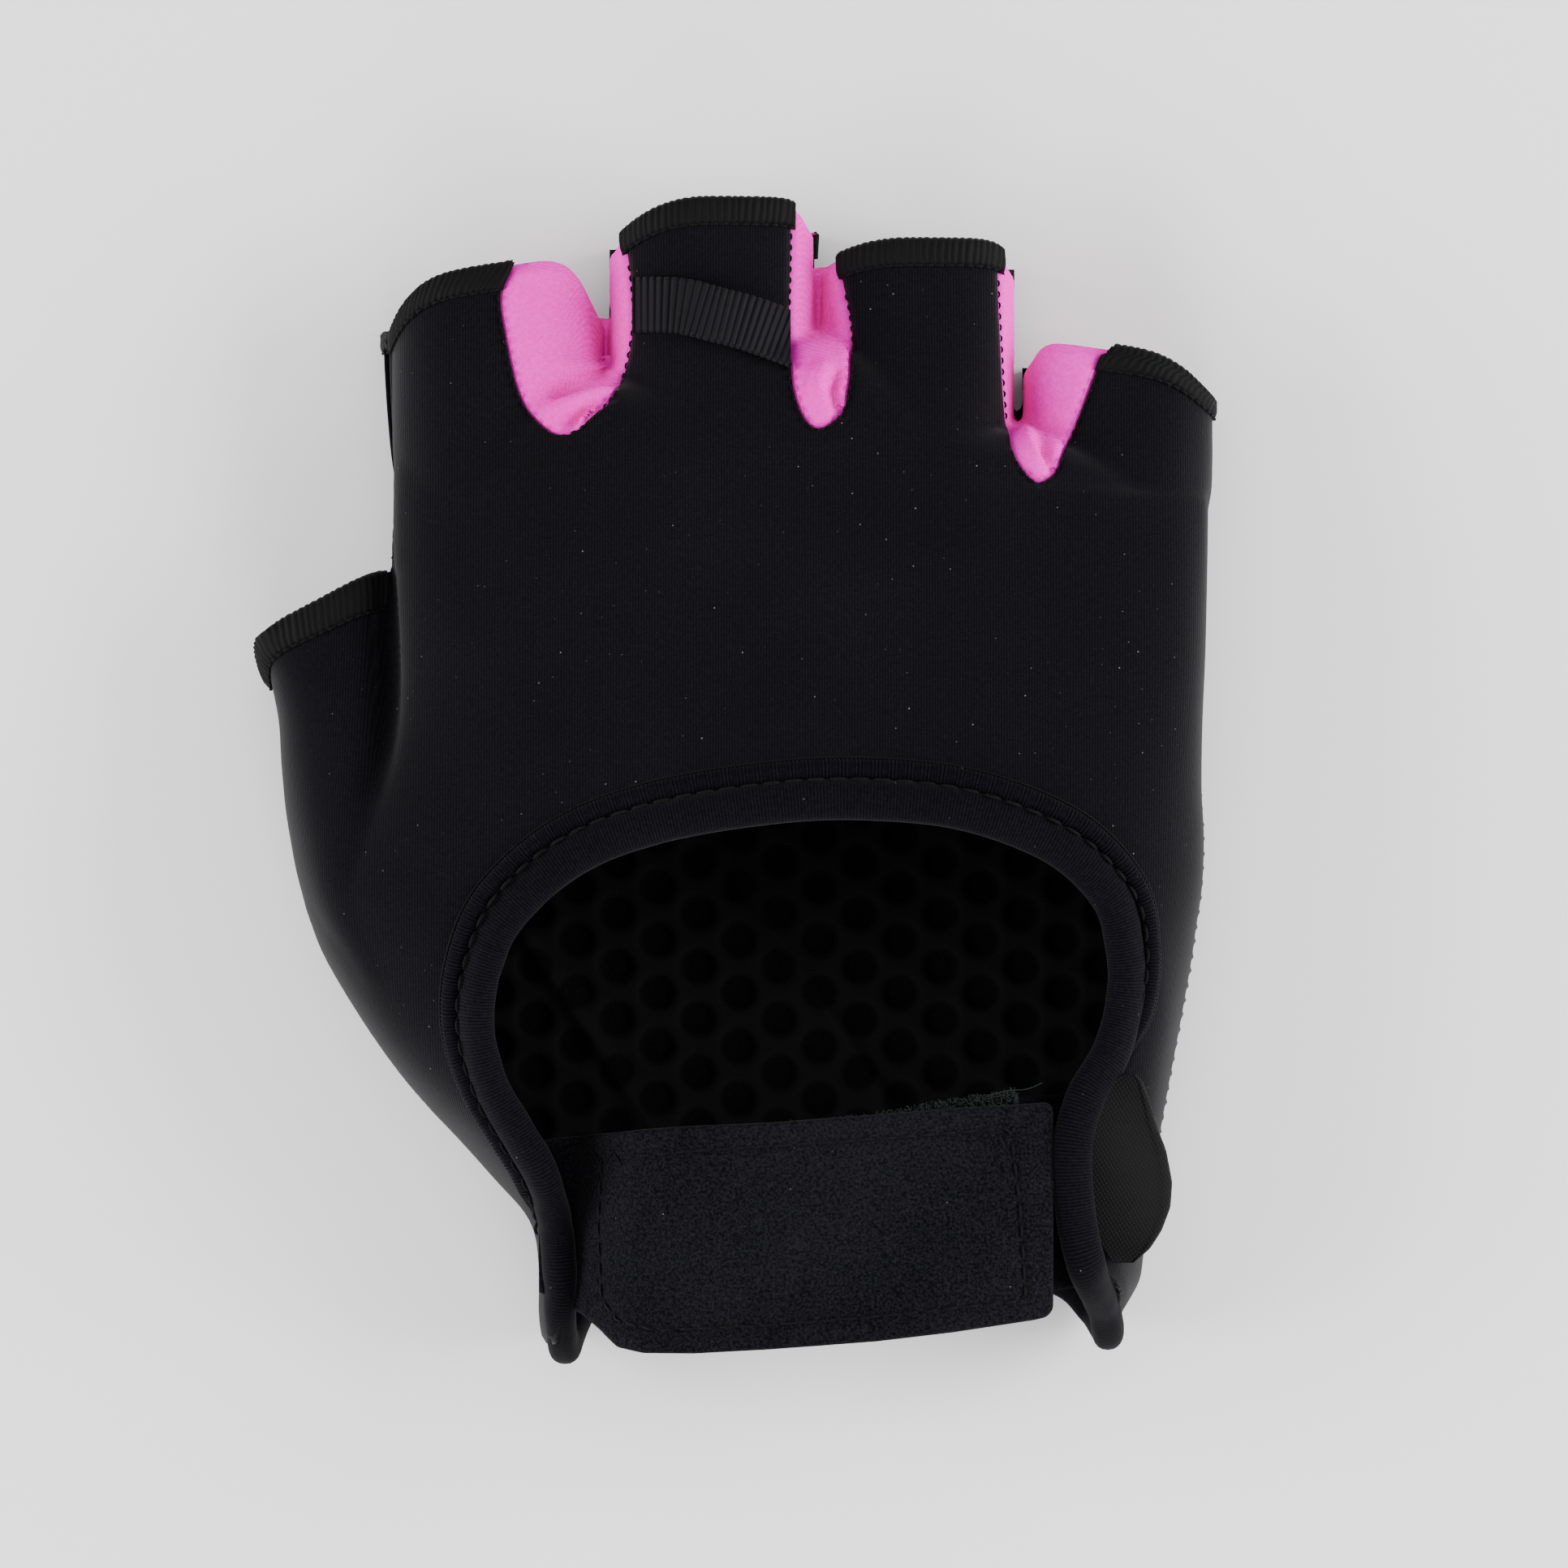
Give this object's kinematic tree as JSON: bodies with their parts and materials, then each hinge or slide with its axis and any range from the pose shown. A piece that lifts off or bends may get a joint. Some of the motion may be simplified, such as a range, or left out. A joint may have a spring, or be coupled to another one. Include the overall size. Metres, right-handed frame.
{
  "type": "weightlifting glove",
  "caption": "Fingerless black stretch weightlifting glove for the right hand, with pink finger gussets, an open back, a rolled binding and a wrist strap.",
  "frame": {"origin": "middle of the underside, on the surface that the palm rests on", "axes": "+Y towards the fingers, +Z out of the back of the hand, the thumb at -X"},
  "size_m": [0.1074, 0.1322, 0.0298],
  "materials": {
    "stretch_fabric": "matte",
    "palm_fabric": "matte",
    "gusset_knit": "matte",
    "overlock_thread": "matte",
    "ribbon": "satin",
    "binding_fabric": "matte",
    "suede": "matte",
    "loop_fuzz": "matte",
    "label_weave": "satin"
  },
  "bodies": {
    "root": {"back_panel": "stretch_fabric", "palm_panel": "palm_fabric", "gusset_index_middle": "gusset_knit", "gusset_middle_ring": "gusset_knit", "gusset_ring_little": "gusset_knit", "hem_index": "overlock_thread", "hem_middle_back": "overlock_thread", "hem_middle_palm": "overlock_thread", "hem_ring_back": "overlock_thread", "hem_ring_palm": "overlock_thread", "hem_little": "overlock_thread", "hem_thumb": "overlock_thread", "pull_loop": "ribbon", "opening_binding": "binding_fabric", "opening_piping": "binding_fabric", "wrist_strap": "suede", "loop_pad": "loop_fuzz", "strap_tab": "palm_fabric", "side_label": "label_weave"}
  },
  "joints": []
}
